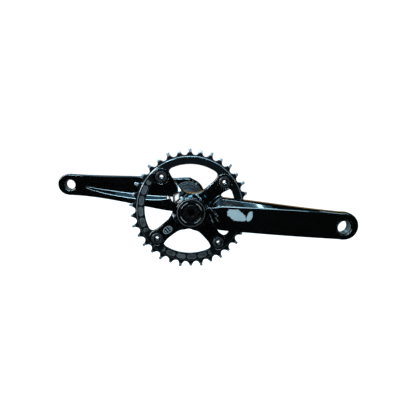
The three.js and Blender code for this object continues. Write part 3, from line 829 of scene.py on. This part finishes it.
forging = skin("drive_arm_forging", drive_arm, (-64, -87, -64), (196.5, -47.5, 64), ARM_STEP)
stand_for(forging, "drive_arm", DRIVE_PAINT)
forging = skin("non_drive_arm_forging", non_drive_arm, (-195, 50.5, -28), (28, 87, 28), ARM_STEP)
stand_for(forging, "non_drive_arm", NON_DRIVE_PAINT)
ring_low = (-RING_REACH, -RING_MIDDLE - RING_HALF, -RING_REACH)
ring_high = (RING_REACH, -RING_MIDDLE + RING_HALF, RING_REACH)
stand_for(skin("chainring_plate", chainring, ring_low, ring_high, RING_STEP), "chainring")


# ---- turned pieces in place of the faceted ones ----
seat, socket_radius = -53.6, 2.75
back = -RING_MIDDLE + 2.3
for number, degrees in enumerate(BOLT_ANGLES, 1):
    place = (BOLT_CIRCLE * math.cos(math.radians(degrees)), BOLT_CIRCLE * math.sin(math.radians(degrees)))
    bolt = turned(
        f"chainring_bolt_{number}_turned",
        [
            (2.0, seat + 7.4), (4, seat + 7.4), (4, seat), (6.6, seat), (6.6, seat - 1.2),
            (5.5, seat - 2.2), (3.1, seat - 2.2), (2.55, seat - 1.7), (2.5, seat + 1.2), (2.0, seat + 1.5),
        ],
        sides=60, centre=place, bevel=0.2, hexed=(7, 8),
    )
    bolt.data.materials.append(BOLT_HEAD)
    bolt.data.materials.append(BARE_SOCKET)
    for face in bolt.data.polygons:
        x, _, z = face.center / MM
        if math.hypot(x - place[0], z - place[1]) < socket_radius:
            face.material_index = 1
    stand_for(bolt, f"chainring_bolt_{number}")
    turn_node(
        f"chainring_nut_{number}",
        [
            (4.3, back - 7), (4.95, back - 7), (4.95, back), (6.3, back), (6.3, back + 0.9),
            (5.8, back + 1.3), (4.3, back + 1.3),
        ],
        sides=60, centre=place, bevel=0.15,
    )

turn_node(
    "crank_bolt",
    [
        (4.02, -60), (4.02, -67.5), (4.6, -68.0), (8.4, -68.2), (9.6, -67.6), (9.6, -65.3), (14, -65.3),
        (14, -63.5), (7.2, -63.5), (7.2, -48), (0.01, -48), (0.01, -60),
    ],
    hexed=(0, 1), bevel=0.2,
)
turn_node("crank_bolt_washer", [(7.8, -63.2), (14, -63.2), (14, -62.3), (7.8, -62.3)], bevel=0.15)
turn_node(
    "extractor_cap",
    [
        (10.4, -65.6), (14.9, -65.6), (14.9, -68.6), (15.9, -68.6), (15.9, -69.3), (15.4, -69.7),
        (14.7, -69.7), (14.3, -69.35), (13.5, -69.35), (13.1, -69.7), (11.1, -69.7), (10.4, -69.0),
    ],
    bevel=0.12,
)
turn_node(
    "spindle",
    [
        (7.5, -61.2), (11, -61.2), (12, -60.2), (12, 65.4), (11.4, 66), (9.6, 66), (9.6, -45), (7.5, -45),
    ],
)
turn_node("non_drive_spacer", [(12.3, 48.7), (16.6, 48.7), (16.6, 50.9), (12.3, 50.9)])
turn_node("centre_sleeve", [(14.4, -31), (15.3, -31), (15.3, 31), (14.4, 31)], bevel=0.15)
for side, hand in ((-1, "drive"), (1, "non_drive")):
    cover = [(12.3, 47.2), (19.2, 47.2), (19.2, 47.9), (18.4, 48.4), (15.2, 48.4), (14.6, 48.1), (12.3, 48.1)]
    turn_node(f"{hand}_dust_cover", [(radius, side * y) for radius, y in cover], bevel=0.15)
stand_for(cup("drive_cup_turned", -1), "drive_cup")
stand_for(cup("non_drive_cup_turned", 1), "non_drive_cup")

# ---- CAD pieces that stay, in their finishes ----
for name, piece in frame["nodes"].items():
    piece.data.materials.clear()
    piece.data.materials.append(FINISHES.get(SLOT_OF[name]) or DRIVE_PAINT)

# ---- stage, light and camera ----
scene = bpy.context.scene
scene.view_settings.view_transform = "Standard"
scene.view_settings.look = "None"

FLOOR_REACH, FLOOR_GAP = 20.0, 0.02
level = -cad_high.x - FLOOR_GAP  # below the arms' whole sweep
floor_corners = [(FLOOR_REACH * i, FLOOR_REACH * j, level) for i, j in ((-1, -1), (1, -1), (1, 1), (-1, 1))]
floor_mesh = bpy.data.meshes.new("floor")
floor_mesh.from_pydata(floor_corners, [], [(0, 1, 2, 3)])
floor = bpy.data.objects.new("floor", floor_mesh)
scene.collection.objects.link(floor)
floor_finish = Tree("pale_floor").finish(
    Base_Color=rgb(0.92, 0.92, 0.92), Roughness=0.9, Specular_IOR_Level=0.0
)
floor.data.materials.append(floor_finish)
floor.visible_glossy = False

# The surroundings light the object evenly, but are dark in its reflections, so the softboxes shape those.
EVEN_LIGHT, MIRRORED_LIGHT = 1.12, 0.004
world = bpy.data.worlds.new("studio")
scene.world = world
world.use_nodes = True
nodes, links = world.node_tree.nodes, world.node_tree.links
bright = nodes["Background"]
dim = nodes.new("ShaderNodeBackground")
for background, strength in ((bright, EVEN_LIGHT), (dim, MIRRORED_LIGHT)):
    background.inputs["Color"].default_value = rgb(1, 1, 1)
    background.inputs["Strength"].default_value = strength
path = nodes.new("ShaderNodeLightPath")
choose = nodes.new("ShaderNodeMixShader")
links.new(path.outputs["Is Glossy Ray"], choose.inputs[0])
links.new(bright.outputs[0], choose.inputs[1])
links.new(dim.outputs[0], choose.inputs[2])
links.new(choose.outputs[0], nodes["World Output"].inputs["Surface"])


def softbox(name, azimuth, elevation, size, color, radiance, distance=1.2):
    """A rectangular light in a direction from the crankset, in degrees; azimuth 0 is in front, 90 at +X."""
    across, up = math.radians(azimuth), math.radians(elevation)
    away = Vector((math.sin(across) * math.cos(up), -math.cos(across) * math.cos(up), math.sin(up)))
    data = bpy.data.lights.new(name, "AREA")
    data.shape = "RECTANGLE"
    data.size, data.size_y = size
    data.color = color
    data.energy = radiance * math.pi * size[0] * size[1]
    made = bpy.data.objects.new(name, data)
    made.location = away * distance
    made.rotation_mode = "QUATERNION"
    made.rotation_quaternion = (-away).to_track_quat("-Z", "Y")
    made.visible_camera = False
    scene.collection.objects.link(made)


WHITE = (0.92, 0.97, 1.0)
SKY = (0.22, 0.66, 1.0)
PALE_SKY = (0.52, 0.85, 1.0)
softbox("key", -68, 34, (0.7, 0.26), WHITE, 8)
softbox("key_glow", -68, 33, (0.9, 0.42), (0.8, 0.93, 1.0), 1.5)
softbox("left_low", -62, 14, (0.4, 0.26), WHITE, 10)
softbox("front_bank", -18, 56, (1.5, 0.3), SKY, 0.7)
softbox("front_line", -24, 41, (0.46, 0.14), PALE_SKY, 30)
softbox("front_line_right", 2, 41, (0.64, 0.14), PALE_SKY, 12)
softbox("front_high", -6, 54, (0.3, 0.05), PALE_SKY, 20)
softbox("left_high", -112, 48, (0.75, 0.14), PALE_SKY, 9)
softbox("right_bank", 60, 38, (0.26, 0.14), SKY, 1.2)
softbox("right_high", 55, 66, (0.4, 0.2), SKY, 1.5)
softbox("right_line", 112, 52, (0.4, 0.08), PALE_SKY, 7)
softbox("left_back", -135, 48, (0.6, 0.24), SKY, 5)
softbox("back_bank", -172, 42, (0.32, 0.6), SKY, 4)
softbox("warm_back", 172, 14, (2.4, 0.4), (1.0, 0.66, 0.25), 0.33, distance=1.7)

YAW, PITCH, ROLL = (math.radians(degrees) for degrees in (5.9, -10.5, 5.5))
camera_data = bpy.data.cameras.new("camera")
camera_data.sensor_width = 36
camera_data.lens = 29.9
camera_data.clip_start = 0.01
camera_data.clip_end = 100
camera = bpy.data.objects.new("camera", camera_data)
scene.collection.objects.link(camera)
camera.rotation_mode = "QUATERNION"
heading = Matrix.Rotation(-YAW, 3, "Z") @ Matrix.Rotation(math.pi / 2 + PITCH, 3, "X")
camera.rotation_quaternion = (heading @ Matrix.Rotation(ROLL, 3, "Z")).to_quaternion()
camera.location = (-0.021, -0.453, 0.079)
scene.camera = camera
